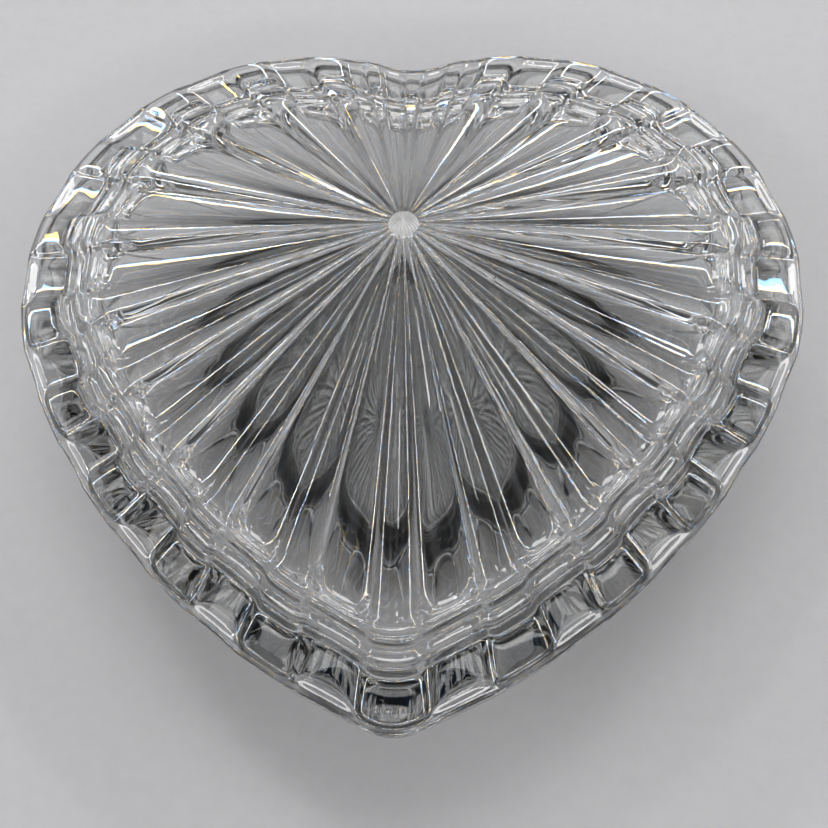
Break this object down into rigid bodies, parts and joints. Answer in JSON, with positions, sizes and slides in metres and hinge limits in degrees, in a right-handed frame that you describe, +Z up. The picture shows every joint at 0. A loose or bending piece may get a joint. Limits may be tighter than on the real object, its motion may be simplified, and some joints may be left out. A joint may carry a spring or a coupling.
{
  "type": "heart-shaped trinket box",
  "caption": "Heart-shaped clear crystal trinket box: fluted dish with a lift-off lid whose ribs radiate from a low pointed apex.",
  "frame": {"origin": "centre of the bounding box's bottom face, on the surface the box stands on", "axes": "+Z up, -Y towards the point of the heart, +X across the lobes"},
  "size_m": [0.125, 0.116, 0.0443],
  "materials": {
    "dish_crystal": "polished clear",
    "lid_crystal": "polished clear"
  },
  "bodies": {
    "dish": {"base_dish": "dish_crystal"},
    "lid": {"lid": "lid_crystal"}
  },
  "joints": [
    {"name": "lid_lift", "type": "slide", "parent": "dish", "child": "lid", "axis": [0, 0, 1], "range_m": [0, 0.08]}
  ]
}
